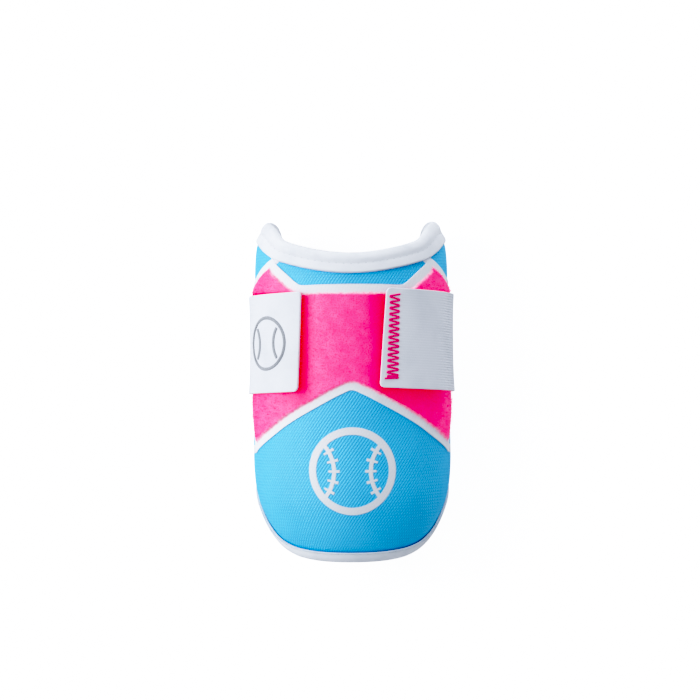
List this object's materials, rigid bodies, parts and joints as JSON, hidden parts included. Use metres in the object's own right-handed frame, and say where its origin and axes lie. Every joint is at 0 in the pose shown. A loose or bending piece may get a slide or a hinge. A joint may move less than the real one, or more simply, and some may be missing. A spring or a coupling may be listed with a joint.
{
  "type": "elbow guard",
  "caption": "Padded batter's elbow guard: a curved foam pad with a rolled edge binding and a loop fabric panel, closed round the arm by a wide elastic strap.",
  "frame": {"origin": "middle of the footprint on the floor, under the guard lying on its open back", "axes": "+Y along the arm to the horns at the upper end, +Z out of the front of the guard, +X to the right as the front is looked at"},
  "size_m": [0.1108, 0.1811, 0.0794],
  "materials": {
    "pad": "printed knit mesh over foam",
    "lining": "soft knit",
    "loop_panel": "brushed loop",
    "edge_binding": "smooth stretch binding",
    "strap": "ribbed elastic",
    "hook_patch": "hook tape"
  },
  "bodies": {
    "root": {"pad": "pad", "lining": "lining", "loop_panel": "loop_panel", "edge_binding": "edge_binding", "strap": "strap", "hook_patch_left": "hook_patch", "hook_patch_right": "hook_patch"}
  },
  "joints": []
}
